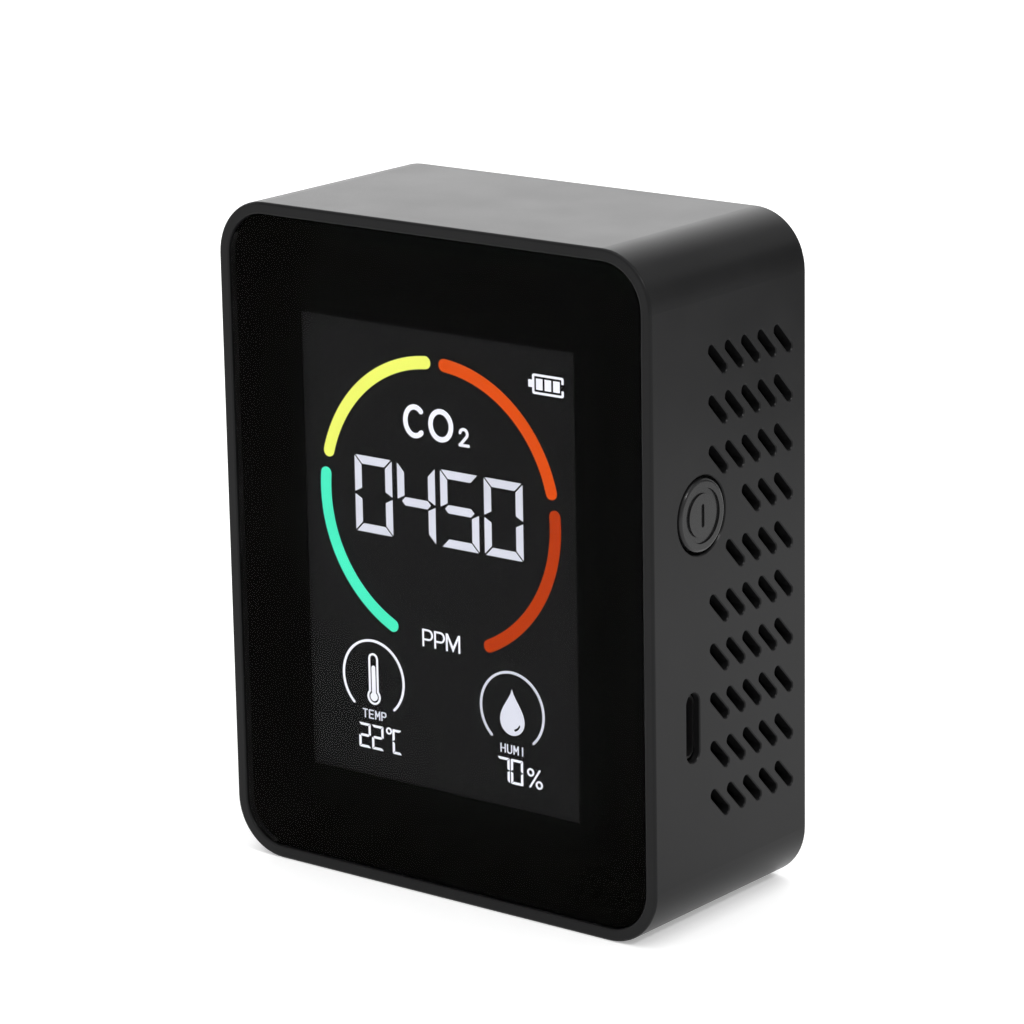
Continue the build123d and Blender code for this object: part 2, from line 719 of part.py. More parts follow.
with BuildPart() as battery_symbol:
    with BuildSketch(symbol_plane()):
        with Locations((CHARGE_X, CHARGE_Y)):
            RectangleRounded(CHARGE_W, CHARGE_H, CHARGE_LINE)
            RectangleRounded(
                CHARGE_W - 2 * CHARGE_LINE, CHARGE_H - 2 * CHARGE_LINE, 0.15, mode=Mode.SUBTRACT
            )
        # A break in the right side, the terminal on the left, and three charge bars
        with Locations((CHARGE_X + CHARGE_W / 2, CHARGE_Y)):
            Rectangle(2 * CHARGE_LINE, 0.9, mode=Mode.SUBTRACT)
        with Locations((CHARGE_X - CHARGE_W / 2 - CHARGE_LINE, CHARGE_Y)):
            Rectangle(0.7, 1.0)
        with Locations((CHARGE_X, CHARGE_Y)):
            with GridLocations(CHARGE_PITCH, 0, 3, 1):
                Rectangle(CHARGE_PITCH - 0.4, 1.5)
    extrude(amount=SYMBOL_T)
save(battery_symbol.part, "battery_symbol")

TEMPERATURE_CENTRE = (-12.64, -18.4)
HUMIDITY_CENTRE = (11.83, -18.75)
DROP_Y = -20.2
DROP_SIDE = [(0, 4.45), (0.3, 3.1), (DROP_R, 1.7), (DROP_R, 0)]

STEM_MIDDLE = (TEMPERATURE_CENTRE[0], -17.95)
BULB = (TEMPERATURE_CENTRE[0], -21.1)
MERCURY_TOP = (TEMPERATURE_CENTRE[0], -16.9)
GLASS_STEM_L = 6.3
GLASS_STEM_W = 1.7
GLASS_LINE = 0.28
BORE_L = GLASS_STEM_L - 2 * GLASS_LINE
BORE_W = GLASS_STEM_W - 2 * GLASS_LINE
BULB_R = 1.17
MERCURY_R = 0.62

with BuildPart() as temperature_icon:
    with BuildSketch(symbol_plane()):
        curve(TEMPERATURE_CENTRE, DIAL_R, *DIAL_ANGLES, DIAL_W)
        with Locations(STEM_MIDDLE):
            SlotOverall(GLASS_STEM_L, GLASS_STEM_W, rotation=90)
        with Locations(BULB):
            Circle(BULB_R)
        with Locations(STEM_MIDDLE):
            SlotOverall(BORE_L, BORE_W, rotation=90, mode=Mode.SUBTRACT)
        with Locations(BULB):
            Circle(BULB_R - GLASS_LINE, mode=Mode.SUBTRACT)
        round_stroke(BULB, MERCURY_TOP, MERCURY_R)
        with Locations(BULB):
            Circle(MERCURY_R)
    extrude(amount=SYMBOL_T)
save(temperature_icon.part, "temperature_icon")


def drop_point(x, y):
    """A point of the water drop, from the centre of its round end."""
    return (HUMIDITY_CENTRE[0] + x, DROP_Y + y)


with BuildPart() as humidity_icon:
    with BuildSketch(symbol_plane()):
        curve(HUMIDITY_CENTRE, DIAL_R, *DIAL_ANGLES, DIAL_W)
        with BuildLine():
            Bezier(*[drop_point(x, y) for x, y in DROP_SIDE])
            ThreePointArc(drop_point(DROP_R, 0), drop_point(0, -DROP_R), drop_point(-DROP_R, 0))
            Bezier(*[drop_point(-x, y) for x, y in reversed(DROP_SIDE)])
        make_face()
        curve(drop_point(0, 0), 1.35, -72, -24, 0.32, mode=Mode.SUBTRACT)
    extrude(amount=SYMBOL_T)
save(humidity_icon.part, "humidity_icon")

LETTERS = {
    "T": [[(0, 1), (1, 1)], [(0.5, 1), (0.5, 0)]],
    "E": [[(1, 1), (0, 1), (0, 0), (1, 0)], [(0, 0.5), (0.85, 0.5)]],
    "M": [[(0, 0), (0, 1), (0.5, 0.35), (1, 1), (1, 0)]],
    "P": [[(0, 0), (0, 1), (0.8, 1), (1, 0.85), (1, 0.62), (0.8, 0.47), (0, 0.47)]],
    "H": [[(0, 0), (0, 1)], [(0, 0.5), (1, 0.5)], [(1, 0), (1, 1)]],
    "U": [[(0, 1), (0, 0.2), (0.25, 0), (0.75, 0), (1, 0.2), (1, 1)]],
    "I": [[(0.5, 0), (0.5, 1)]],
}


def caption(text, centre):
    """Adds small thin capitals, centred on a point, to the sketch in hand."""
    left = centre[0] - (CAPTION_PITCH * (len(text) - 1) + CAPTION_W) / 2
    bottom = centre[1] - CAPTION_H / 2
    for place, letter in enumerate(text):
        for line in LETTERS[letter]:
            points = [
                (left + place * CAPTION_PITCH + x * CAPTION_W, bottom + y * CAPTION_H) for x, y in line
            ]
            strokes(points, CAPTION_LINE)


with BuildPart() as temperature_caption:
    with BuildSketch(symbol_plane()):
        caption("TEMP", (TEMPERATURE_CENTRE[0], -23.75))
    extrude(amount=SYMBOL_T)
save(temperature_caption.part, "temperature_caption")

with BuildPart() as humidity_caption:
    with BuildSketch(symbol_plane()):
        caption("HUMI", (HUMIDITY_CENTRE[0], -24.3))
    extrude(amount=SYMBOL_T)
save(humidity_caption.part, "humidity_caption")

with BuildPart() as temperature_reading:
    with BuildSketch(symbol_plane()):
        number("22", (-15.5, TEMPERATURE_Y), SMALL_W, SMALL_H, SMALL_BAR, SMALL_PITCH, SMALL_GAP)
        digit_bars((-9.45, TEMPERATURE_Y), 1.6, SMALL_H, SMALL_BAR, SMALL_GAP, LIT_BARS["C"])
        ring((-10.1, TEMPERATURE_Y + SMALL_H - DEGREE_R), DEGREE_R, 0.22)
    extrude(amount=SYMBOL_T)
save(temperature_reading.part, "temperature_reading")

with BuildPart() as humidity_reading:
    with BuildSketch(symbol_plane()):
        number("70", (9.15, HUMIDITY_Y), SMALL_W, SMALL_H, SMALL_BAR, SMALL_PITCH, SMALL_GAP)
        ring((14.85, HUMIDITY_Y + 2.25), PERCENT_R, PERCENT_LINE)
        ring((16.3, HUMIDITY_Y + 0.65), PERCENT_R, PERCENT_LINE)
        round_stroke((14.75, HUMIDITY_Y + 0.2), (16.4, HUMIDITY_Y + 2.7), PERCENT_LINE)
    extrude(amount=SYMBOL_T)
save(humidity_reading.part, "humidity_reading")


# ---------------------------------------------------------------- circuit board
with BuildPart() as main_board:
    with BuildSketch(front_plane(BOARD_DEPTH, z=BOARD_Z)):
        RectangleRounded(BOARD_W, BOARD_H, BOARD_CORNER_R)
    extrude(amount=-BOARD_T)
    with BuildSketch(front_plane(BOARD_DEPTH)):
        with Locations(*BOARD_SCREWS):
            Circle(BOARD_SHANK_R + 0.2)
        with Locations((USB_X, PORT_Z - MID_Z)):
            with GridLocations(USB_LEG_PITCH_X, USB_LEG_PITCH_Z, 2, 2):
                Rectangle(USB_LEG_L + 0.3, USB_LEG_T + 0.3)
    extrude(amount=-BOARD_T, mode=Mode.SUBTRACT)
save(main_board.part, "main_board")

save(
    screw(BOARD_SCREWS, BOARD_BACK, BOARD_HEAD_R, BOARD_HEAD_T, BOARD_SHANK_R, BOARD_SHANK_L, BOARD_CROSS),
    "board_screws",
)


def on_board(x, z, height=0.0):
    """A plane on the back of the board, or above it, whose normal points to the rear cover."""
    origin = (x, FRONT_Y + BOARD_BACK + height, z)
    return Plane(origin=origin, x_dir=(-1, 0, 0), z_dir=(0, 1, 0))


def block(x, z, width, length, bottom, height, edge=0.2):
    """A block of width along X and length along Z that stands over the back of the board."""
    with BuildPart() as body:
        with BuildSketch(on_board(x, z, bottom)):
            Rectangle(width, length)
        extrude(amount=height)
        chamfer(body.faces().sort_by(Axis.Y)[-1].edges(), edge)
    return body.part


save(block(CHIP_X, CHIP_Z, CHIP_SIZE, CHIP_SIZE, 0.15, 1.4, 0.3), "microcontroller")

with BuildPart() as microcontroller_pins:
    for turn in range(4):
        with BuildSketch(on_board(CHIP_X, CHIP_Z)):
            with Locations(Location((0, 0), 90 * turn)):
                with Locations((0, CHIP_SIZE / 2 + CHIP_PIN_L / 2)):
                    with GridLocations(CHIP_PIN_PITCH, 0, CHIP_PINS, 1):
                        Rectangle(CHIP_PIN_W, CHIP_PIN_L)
        extrude(amount=CHIP_PIN_T)
save(microcontroller_pins.part, "microcontroller_pins")

save(block(CHARGER_X, CHARGER_Z, 4.0, 5.0, 0.0, 1.5, 0.25), "charger_chip")
save(block(COIL_X, COIL_Z, 5.0, 5.0, 0.0, 2.8, 0.6), "power_coil")
save(block(CRYSTAL_X, CRYSTAL_Z, 5.0, 3.2, 0.0, 1.1, 0.3), "clock_crystal")

with BuildPart() as small_chips:
    for x, z in SMALL_CHIPS:
        with BuildSketch(on_board(x, z)):
            Rectangle(1.6, 0.8)
        extrude(amount=0.6)
save(small_chips.part, "resistors_and_capacitors")

with BuildPart() as alarm_buzzer:
    with BuildSketch(on_board(BUZZER_X, BUZZER_Z)):
        Circle(BUZZER_R)
    extrude(amount=BUZZER_H)
    fillet(alarm_buzzer.faces().sort_by(Axis.Y)[-1].edges(), 0.4)
    with BuildSketch(on_board(BUZZER_X, BUZZER_Z, BUZZER_H)):
        Circle(1.0)
    extrude(amount=-1.5, mode=Mode.SUBTRACT)
save(alarm_buzzer.part, "alarm_buzzer")


# ---------------------------------------------------------------- gas and humidity sensors
with BuildPart() as gas_sensor_board:
    with BuildSketch(on_board(GAS_X, GAS_Z, GAS_STANDOFF)):
        Rectangle(GAS_W, GAS_L)
    extrude(amount=GAS_BOARD_T)
save(gas_sensor_board.part, "gas_sensor_board")

with BuildPart() as gas_sensor_pins:
    with BuildSketch(on_board(GAS_X, GAS_Z)):
        with GridLocations(GAS_W - 2.5, 2.54, 2, 5):
            Rectangle(0.64, 0.64)
    extrude(amount=GAS_STANDOFF)
save(gas_sensor_pins.part, "gas_sensor_pins")

with BuildPart() as gas_sensor_chamber:
    with BuildSketch(on_board(GAS_X, GAS_Z, GAS_STANDOFF + GAS_BOARD_T)):
        RectangleRounded(GAS_W - 5.0, GAS_L - 4.0, 2.0)
    extrude(amount=GAS_CHAMBER_H)
    fillet(gas_sensor_chamber.faces().sort_by(Axis.Y)[-1].edges(), 0.8)
    with BuildSketch(on_board(GAS_X, GAS_Z, GAS_TOP)):
        Rectangle(FILTER_W, FILTER_L)
    extrude(amount=-FILTER_T, mode=Mode.SUBTRACT)
save(gas_sensor_chamber.part, "gas_sensor_chamber")

with BuildPart() as gas_sensor_filter:
    with BuildSketch(on_board(GAS_X, GAS_Z, GAS_TOP)):
        Rectangle(FILTER_W - 2 * TOUCH, FILTER_L - 2 * TOUCH)
    extrude(amount=-FILTER_T)
save(gas_sensor_filter.part, "gas_sensor_filter")

with BuildPart() as humidity_sensor:
    with BuildSketch(on_board(HUMID_X, HUMID_Z, 0.5)):
        RectangleRounded(HUMID_W, HUMID_L, 0.8)
    extrude(amount=HUMID_H)
    with BuildSketch(on_board(HUMID_X, HUMID_Z, 0.5 + HUMID_H)):
        with GridLocations(2.6, 3.4, 4, 4):
            Rectangle(1.6, 2.4)
    extrude(amount=-1.2, mode=Mode.SUBTRACT)
save(humidity_sensor.part, "humidity_sensor")

with BuildPart() as humidity_sensor_pins:
    with BuildSketch(on_board(HUMID_X, HUMID_Z)):
        with GridLocations(2.54, 0, 4, 1):
            Rectangle(0.5, 0.5)
    extrude(amount=0.5)
save(humidity_sensor_pins.part, "humidity_sensor_pins")


# ---------------------------------------------------------------- battery
with BuildPart() as battery_pad:
    with BuildSketch(on_board(BATTERY_X, BATTERY_Z)):
        Rectangle(BATTERY_W - 8, BATTERY_L - 6)
    extrude(amount=PAD_T)
save(battery_pad.part, "battery_pad")

with BuildPart() as battery_cell:
    with BuildSketch(on_board(BATTERY_X, BATTERY_Z, PAD_T)):
        RectangleRounded(BATTERY_W, BATTERY_L, 1.5)
    extrude(amount=BATTERY_H)
    fillet(battery_cell.faces().filter_by(Axis.Y).edges(), 1.2)
save(battery_cell.part, "battery_cell")

with BuildPart() as battery_socket:
    with BuildSketch(on_board(SOCKET_X, SOCKET_Z)):
        Rectangle(SOCKET_W, SOCKET_L)
    extrude(amount=SOCKET_H)
    with BuildSketch(on_board(SOCKET_X, SOCKET_Z + SOCKET_L / 2 - PLUG_IN / 2, 1.0)):
        Rectangle(PLUG_W + 2 * TOUCH, PLUG_IN)
    extrude(amount=SOCKET_H, mode=Mode.SUBTRACT)
save(battery_socket.part, "battery_socket")

with BuildPart() as battery_plug:
    with BuildSketch(on_board(SOCKET_X, PLUG_END_Z - PLUG_L / 2, 1.0 + TOUCH)):
        Rectangle(PLUG_W, PLUG_L)
    extrude(amount=PLUG_H)
save(battery_plug.part, "battery_plug")


def lead(side, level):
    """A battery lead: out of the cell's end, round a corner and into the plug."""
    x = SOCKET_X + side * LEAD_PITCH / 2
    start = (BATTERY_X + BATTERY_W / 2, level)
    depth = FRONT_Y + BOARD_BACK + LEAD_LEVEL
    with BuildPart() as wire:
        with BuildLine(Plane(origin=(0, depth, 0), x_dir=(1, 0, 0), z_dir=(0, -1, 0))) as route:
            FilletPolyline(start, (x, level), (x, PLUG_END_Z), radius=LEAD_BEND)
        with BuildSketch(Plane(origin=route.line @ 0, z_dir=route.line % 0)):
            Circle(LEAD_R)
        sweep(path=route.line)
    return wire.part


save(lead(1, LEAD_UPPER_Z), "battery_lead_red")
save(lead(-1, LEAD_LOWER_Z), "battery_lead_black")


# ---------------------------------------------------------------- charging port
def port_plane(x):
    """A plane across X at the middle of the charging port."""
    return Plane(origin=(x, FRONT_Y + PORT_DEPTH, PORT_Z), x_dir=(0, 1, 0), z_dir=(1, 0, 0))


with BuildPart() as usb_shell:
    with BuildSketch(port_plane(USB_MOUTH_X)):
        RectangleRounded(USB_T, USB_W, USB_T / 2 - 0.05)
    extrude(amount=-USB_L)
    with BuildSketch(port_plane(USB_MOUTH_X)):
        RectangleRounded(USB_T - 2 * USB_WALL, USB_W - 2 * USB_WALL, USB_T / 2 - USB_WALL - 0.05)
    extrude(amount=USB_WALL - USB_L, mode=Mode.SUBTRACT)
    with BuildSketch(on_board(USB_X, PORT_Z, 0.3)):
        with GridLocations(USB_LEG_PITCH_X, USB_LEG_PITCH_Z, 2, 2):
            Rectangle(USB_LEG_L, USB_LEG_T)
    extrude(amount=-1.6)
    with BuildSketch(on_board(USB_X, PORT_Z)):
        with GridLocations(USB_LEG_PITCH_X, USB_LEG_PITCH_Z, 2, 2):
            Rectangle(USB_LEG_L, USB_LEG_T)
    extrude(amount=USB_T / 2)
save(usb_shell.part, "usb_shell")

with BuildPart() as usb_tongue:
    with BuildSketch(port_plane(USB_MOUTH_X - USB_L + USB_WALL)):
        Rectangle(USB_T - 2 * USB_WALL, USB_W - 2 * USB_WALL - 2.8)
    extrude(amount=1.2)
    with BuildSketch(port_plane(USB_MOUTH_X - USB_L + USB_WALL)):
        Rectangle(TONGUE_T, TONGUE_W)
    extrude(amount=USB_L - USB_WALL - 1.3)
save(usb_tongue.part, "usb_tongue")

with BuildPart() as usb_contacts:
    with BuildSketch(port_plane(USB_MOUTH_X - 1.9)):
        with GridLocations(TONGUE_T + 0.05, 0.5, 2, 12):
            Rectangle(0.05, 0.25)
    extrude(amount=-3.4)
save(usb_contacts.part, "usb_contacts")


# ---------------------------------------------------------------- power button and its switch
def button_plane(x):
    """A plane across X at the button's axis; its local y is up."""
    return Plane(origin=(x, FRONT_Y + BUTTON_DEPTH, BUTTON_Z), x_dir=(0, 1, 0), z_dir=(1, 0, 0))


with BuildPart() as power_button:
    with BuildSketch(button_plane(BUTTON_FACE_X)):
        Circle(BUTTON_CAP_R)
    extrude(amount=FLANGE_X - BUTTON_FACE_X)
    fillet(power_button.faces().sort_by(Axis.X)[-1].edges(), 0.45)
    # Flange that keeps it in, cut flat to clear the board
    with BuildSketch(button_plane(FLANGE_X)):
        Circle(FLANGE_R)
        with Locations((-FLANGE_R - FLANGE_FLAT, 0)):
            Rectangle(2 * FLANGE_R, 2 * FLANGE_R, mode=Mode.SUBTRACT)
    extrude(amount=-FLANGE_T)
    with BuildSketch(button_plane(FLANGE_X)):
        Circle(STEM_R)
    extrude(amount=STEM_X - FLANGE_X)
    # Engraved power mark: a ring and an upright bar
    with BuildSketch(button_plane(BUTTON_FACE_X)):
        Circle(MARK_R + MARK_W / 2)
        Circle(MARK_R - MARK_W / 2, mode=Mode.SUBTRACT)
        SlotOverall(MARK_BAR, MARK_BAR_W, rotation=90)
    extrude(amount=-MARK_CUT, mode=Mode.SUBTRACT)
save(power_button.part, "power_button")

with BuildPart() as switch_base:
    with BuildSketch(on_board(SWITCH_BACK_X + SWITCH_T / 2, BUTTON_Z)):
        Rectangle(SWITCH_T, SWITCH_W)
    extrude(amount=SWITCH_H)
    with BuildSketch(button_plane(SWITCH_BACK_X + SWITCH_T)):
        Circle(SWITCH_BORE_R)
    extrude(amount=-SWITCH_BORE, mode=Mode.SUBTRACT)
save(switch_base.part, "switch_base")

with BuildPart() as switch_dome:
    with BuildSketch(button_plane(SWITCH_BACK_X + SWITCH_T - SWITCH_BORE)):
        Circle(SWITCH_BORE_R - 0.15)
    extrude(amount=0.15)
    with BuildSketch(button_plane(SWITCH_BACK_X + SWITCH_T - SWITCH_BORE + 0.15)):
        Circle(1.2)
    extrude(amount=0.1)
save(switch_dome.part, "switch_dome")

with BuildPart() as switch_cover:
    with BuildSketch(on_board(SWITCH_BACK_X + SWITCH_T + 0.15, BUTTON_Z)):
        Rectangle(0.3, SWITCH_W)
    extrude(amount=SWITCH_H)
    with BuildSketch(on_board(SWITCH_BACK_X + SWITCH_T / 2 + 0.3, BUTTON_Z)):
        with Locations((0, SWITCH_W / 2 + 0.15), (0, -SWITCH_W / 2 - 0.15)):
            Rectangle(SWITCH_T + 0.6, 0.3)
    extrude(amount=SWITCH_H)
    with BuildSketch(button_plane(SWITCH_BACK_X + SWITCH_T)):
        Circle(PLUNGER_R + 0.1)
    extrude(amount=0.3, mode=Mode.SUBTRACT)
save(switch_cover.part, "switch_cover")

with BuildPart() as switch_plunger:
    with BuildSketch(button_plane(STEM_X)):
        Circle(PLUNGER_R)
    extrude(amount=PLUNGER_BACK_X - STEM_X)
    with BuildSketch(button_plane(SWITCH_BACK_X + SWITCH_T - TOUCH)):
        Circle(COLLAR_R)
    extrude(amount=PLUNGER_BACK_X - SWITCH_BACK_X - SWITCH_T + TOUCH)
save(switch_plunger.part, "switch_plunger")

with BuildPart() as switch_terminals:
    with BuildSketch(on_board(SWITCH_BACK_X - 0.7, BUTTON_Z)):
        with GridLocations(0, 4.5, 1, 2):
            Rectangle(1.4, 0.7)
    extrude(amount=0.25)
    with BuildSketch(on_board(SWITCH_BACK_X - 0.125, BUTTON_Z)):
        with GridLocations(0, 4.5, 1, 2):
            Rectangle(0.25, 0.7)
    extrude(amount=1.5)
save(switch_terminals.part, "switch_terminals")
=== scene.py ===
"""Carbon dioxide monitor: looks, light and camera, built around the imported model."""
import json
import math

import bmesh
import bpy
from mathutils import Matrix, Vector


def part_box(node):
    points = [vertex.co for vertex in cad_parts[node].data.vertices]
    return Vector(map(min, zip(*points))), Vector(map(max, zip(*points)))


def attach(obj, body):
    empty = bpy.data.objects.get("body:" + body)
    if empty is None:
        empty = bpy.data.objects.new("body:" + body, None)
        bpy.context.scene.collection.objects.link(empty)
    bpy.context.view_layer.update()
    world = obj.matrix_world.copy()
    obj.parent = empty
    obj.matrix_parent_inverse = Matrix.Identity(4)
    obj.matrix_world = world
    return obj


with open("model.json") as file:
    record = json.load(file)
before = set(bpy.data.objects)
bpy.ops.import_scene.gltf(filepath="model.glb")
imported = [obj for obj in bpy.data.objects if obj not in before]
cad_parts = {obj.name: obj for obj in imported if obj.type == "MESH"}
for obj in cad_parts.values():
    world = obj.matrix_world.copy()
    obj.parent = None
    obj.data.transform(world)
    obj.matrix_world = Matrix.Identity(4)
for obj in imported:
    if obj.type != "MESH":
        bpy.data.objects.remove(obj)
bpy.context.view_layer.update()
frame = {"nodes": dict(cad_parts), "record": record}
nodes = frame["nodes"]
scene = bpy.context.scene
MM = 0.001


# ---------------------------------------------------------------- node helpers
# The part of a noise's range that is spread over a shader's values
NOISE_LOW, NOISE_HIGH = 0.3, 0.7


def scaled(colour, factor):
    return tuple(channel * factor for channel in colour)


class Shader:
    """A material's node tree, with short calls to add and link nodes."""

    def __init__(self, name):
        self.material = bpy.data.materials.new(name)
        self.material.use_nodes = True
        self.tree = self.material.node_tree
        self.bsdf = self.tree.nodes["Principled BSDF"]
        self.place = self.tree.nodes.new("ShaderNodeTexCoord").outputs["Object"]

    def put(self, socket, value):
        if isinstance(value, bpy.types.NodeSocket):
            self.tree.links.new(value, socket)
        else:
            socket.default_value = value

    def node(self, kind, inputs, **settings):
        made = self.tree.nodes.new("ShaderNode" + kind)
        for key, value in settings.items():
            setattr(made, key, value)
        for key, value in inputs.items():
            self.put(made.inputs[key], value)
        return made

    def set(self, **values):
        """Sets the shader's sockets: set(Roughness=0.4, Base_Color=...)."""
        for key, value in values.items():
            self.put(self.bsdf.inputs[key.replace("_", " ")], value)

    def noise(self, size, detail=2.0, roughness=0.5):
        """Noise whose blotches are about size metres across, from 0 to 1."""
        made = self.node(
            "TexNoise",
            {"Vector": self.place, "Scale": 1 / size, "Detail": detail, "Roughness": roughness},
        )
        return made.outputs["Fac"]

    def spread(self, value, low, high):
        """Maps the middle of a noise's range to low..high."""
        made = self.node(
            "MapRange",
            {"Value": value, "From Min": NOISE_LOW, "From Max": NOISE_HIGH, "To Min": low, "To Max": high},
        )
        return made.outputs["Result"]

    def blend(self, factor, first, second):
        """Mixes two colours, each a tuple or another node's output."""
        made = self.node("Mix", {"Factor": factor}, data_type="RGBA")
        for key, colour in (("A", first), ("B", second)):
            linked = isinstance(colour, bpy.types.NodeSocket)
            self.put(made.inputs[key], colour if linked else (*colour, 1))
        return made.outputs["Result"]

    def calculate(self, operation, first, second):
        return self.node("Math", {0: first, 1: second}, operation=operation).outputs["Value"]

    def bump(self, height, distance, strength):
        made = self.node("Bump", {"Height": height, "Distance": distance, "Strength": strength})
        return made.outputs["Normal"]


# ---------------------------------------------------------------- plastics and metals
PATCH_SIZE = 0.012
PATCH_TINT = 0.12


def moulded(name, colour, rough, grain=0.00018, depth=0.000006, spec=0.5):
    """Moulded plastic with a fine spark-eroded texture, grain metres across and depth metres deep."""
    s = Shader(name)
    patches = s.noise(PATCH_SIZE, 3)
    fine = s.noise(grain, 2, 0.6)
    uneven = s.calculate("ADD", s.calculate("MULTIPLY", patches, 0.6), s.calculate("MULTIPLY", fine, 0.4))
    dark, light = scaled(colour, 1 - PATCH_TINT), scaled(colour, 1 + PATCH_TINT)
    s.set(Base_Color=s.blend(s.spread(patches, 0, 1), dark, light))
    s.set(Roughness=s.spread(uneven, rough - 0.03, rough + 0.03))
    s.set(Normal=s.bump(fine, depth, 1.0), Specular_IOR_Level=spec)
    return s.material


def metal(name, colour, rough, grain=0.0004):
    """Plated or rolled metal with fine uneven polish."""
    s = Shader(name)
    marks = s.noise(grain, 4, 0.6)
    s.set(Base_Color=s.blend(s.spread(marks, 0, 1), scaled(colour, 0.85), colour), Metallic=1.0)
    s.set(Roughness=s.spread(marks, rough - 0.06, rough + 0.08))
    s.set(Normal=s.bump(marks, 0.000004, 0.5))
    return s.material


# ---------------------------------------------------------------- window and display
def lens_material():
    """Clear acrylic; its low index keeps the print behind it black."""
    s = Shader("lens_acrylic")
    haze = s.noise(0.02, 2)
    s.set(Base_Color=(1, 1, 1, 1), Transmission_Weight=1.0, IOR=1.1)
    s.set(Roughness=s.spread(haze, 0.012, 0.03))
    return s.material


def print_material():
    s = Shader("black_print")
    haze = s.noise(0.008, 2)
    s.set(Base_Color=s.blend(haze, (0.0036, 0.0037, 0.0027), (0.0044, 0.0045, 0.0033)))
    s.set(Roughness=s.spread(haze, 0.5, 0.6), Specular_IOR_Level=0.02)
    return s.material


def screen_material():
    """The unlit screen, which lets a little of the light behind it through."""
    s = Shader("screen_polariser")
    haze = s.noise(0.01, 2)
    s.set(Base_Color=s.blend(haze, (0.0018, 0.0018, 0.0019), (0.0026, 0.0026, 0.0027)))
    s.set(Roughness=s.spread(haze, 0.4, 0.5), Specular_IOR_Level=0.02)
    s.set(Emission_Color=(0.0008, 0.0008, 0.0009, 1), Emission_Strength=1.0)
    return s.material


def lit(name, colour):
    """A lit shape of the display, as even as the light guide behind it."""
    s = Shader(name)
    grain = s.noise(0.0012, 3)
    glow = s.spread(s.noise(0.006, 2), 0, 1)
    s.set(Base_Color=s.blend(grain, scaled(colour, 0.05), scaled(colour, 0.09)))
    s.set(Roughness=s.spread(grain, 0.4, 0.6), Specular_IOR_Level=0.02)
    s.set(Emission_Color=s.blend(glow, scaled(colour, 0.95), scaled(colour, 1.04)))
    s.set(Emission_Strength=1.0)
    return s.material


# ---------------------------------------------------------------- circuit board
TRACK_PITCH = 0.004


def board_material():
    """Solder mask over copper: tracks show as slightly lighter, raised lines."""
    s = Shader("board_mask")
    flat = s.node("Mapping", {"Vector": s.place, "Rotation": (math.pi / 2, 0, 0)}).outputs["Vector"]
    tracks = s.node(
        "TexBrick",
        {"Vector": flat, "Scale": 1 / TRACK_PITCH, "Mortar Size": 0.045, "Mortar Smooth": 0.2, "Bias": 0.0},
    ).outputs["Fac"]
    cloud = s.noise(0.006, 3)
    mask = s.blend(cloud, (0.010, 0.058, 0.026), (0.014, 0.078, 0.034))
    s.set(Base_Color=s.blend(tracks, mask, (0.03, 0.14, 0.06)))
    s.set(Roughness=s.spread(cloud, 0.26, 0.36), Normal=s.bump(tracks, 0.00003, 0.6))
    return s.material


# ---------------------------------------------------------------- materials by slot
MATERIALS = {
    "case_plastic": moulded("case_plastic", (0.0088, 0.0088, 0.0091), 0.31, spec=0.12),
    "button_plastic": moulded(
        "button_plastic", (0.0115, 0.0115, 0.0118), 0.22, grain=0.0001, depth=0.000003, spec=0.25
    ),
    "lens_clear": lens_material(),
    "black_print": print_material(),
    "tape": moulded("tape", (0.02, 0.02, 0.02), 0.6),
    "foam": moulded("foam", (0.02, 0.02, 0.021), 0.9, grain=0.0004, depth=0.0001),
    "display_glass": moulded("display_glass", (0.03, 0.032, 0.034), 0.1, depth=0.000001),
    "display_dark": screen_material(),
    "light_white": moulded("light_guide", (0.75, 0.76, 0.78), 0.3),
    "lit_white": lit("lit_white", (0.686, 0.701, 0.79)),
    "lit_green": lit("lit_green", (0.065, 0.84, 0.53)),
    "lit_yellow": lit("lit_yellow", (0.86, 0.92, 0.15)),
    "lit_orange": lit("lit_orange", (0.71, 0.076, 0.002)),
    "lit_red": lit("lit_red", (0.44, 0.036, 0.0)),
    "board_mask": board_material(),
    "chip_resin": moulded("chip_resin", (0.018, 0.018, 0.019), 0.55, grain=0.0001),
    "tinned": metal("tinned", (0.72, 0.71, 0.68), 0.3),
    "screw_steel": metal("screw_steel", (0.13, 0.13, 0.135), 0.35),
    "nickel": metal("nickel", (0.14, 0.14, 0.14), 0.35),
    "gold_plate": metal("gold_plate", (0.86, 0.62, 0.26), 0.25),
    "chip_ceramic": moulded("chip_ceramic", (0.42, 0.33, 0.22), 0.6),
    "sensor_white": moulded("sensor_white", (0.7, 0.71, 0.73), 0.5),
    "sensor_blue": moulded("sensor_blue", (0.05, 0.22, 0.5), 0.4),
    "membrane": moulded("membrane", (0.78, 0.78, 0.75), 0.8, grain=0.0003, depth=0.00004),
    "battery_foil": metal("battery_foil", (0.78, 0.79, 0.8), 0.35, grain=0.002),
    "lead_red": moulded("lead_red", (0.5, 0.02, 0.015), 0.4),
    "lead_black": moulded("lead_black", (0.015, 0.015, 0.015), 0.4),
    "connector": moulded("connector", (0.8, 0.77, 0.68), 0.4),
}

# Symbols of thin lines are lit a little brighter than the broad digits
FINE_WHITE = lit("lit_white_fine", (0.90, 0.91, 0.98))
FINE_SYMBOLS = (
    "gas_symbol", "unit_symbol", "battery_symbol", "temperature_icon",
    "temperature_reading", "humidity_reading",
)

for part in frame["record"]["subparts"]:
    piece = nodes[part["node"]]
    piece.data.materials.clear()
    fine = part["node"] in FINE_SYMBOLS
    piece.data.materials.append(FINE_WHITE if fine else MATERIALS[part["material_slot"]])


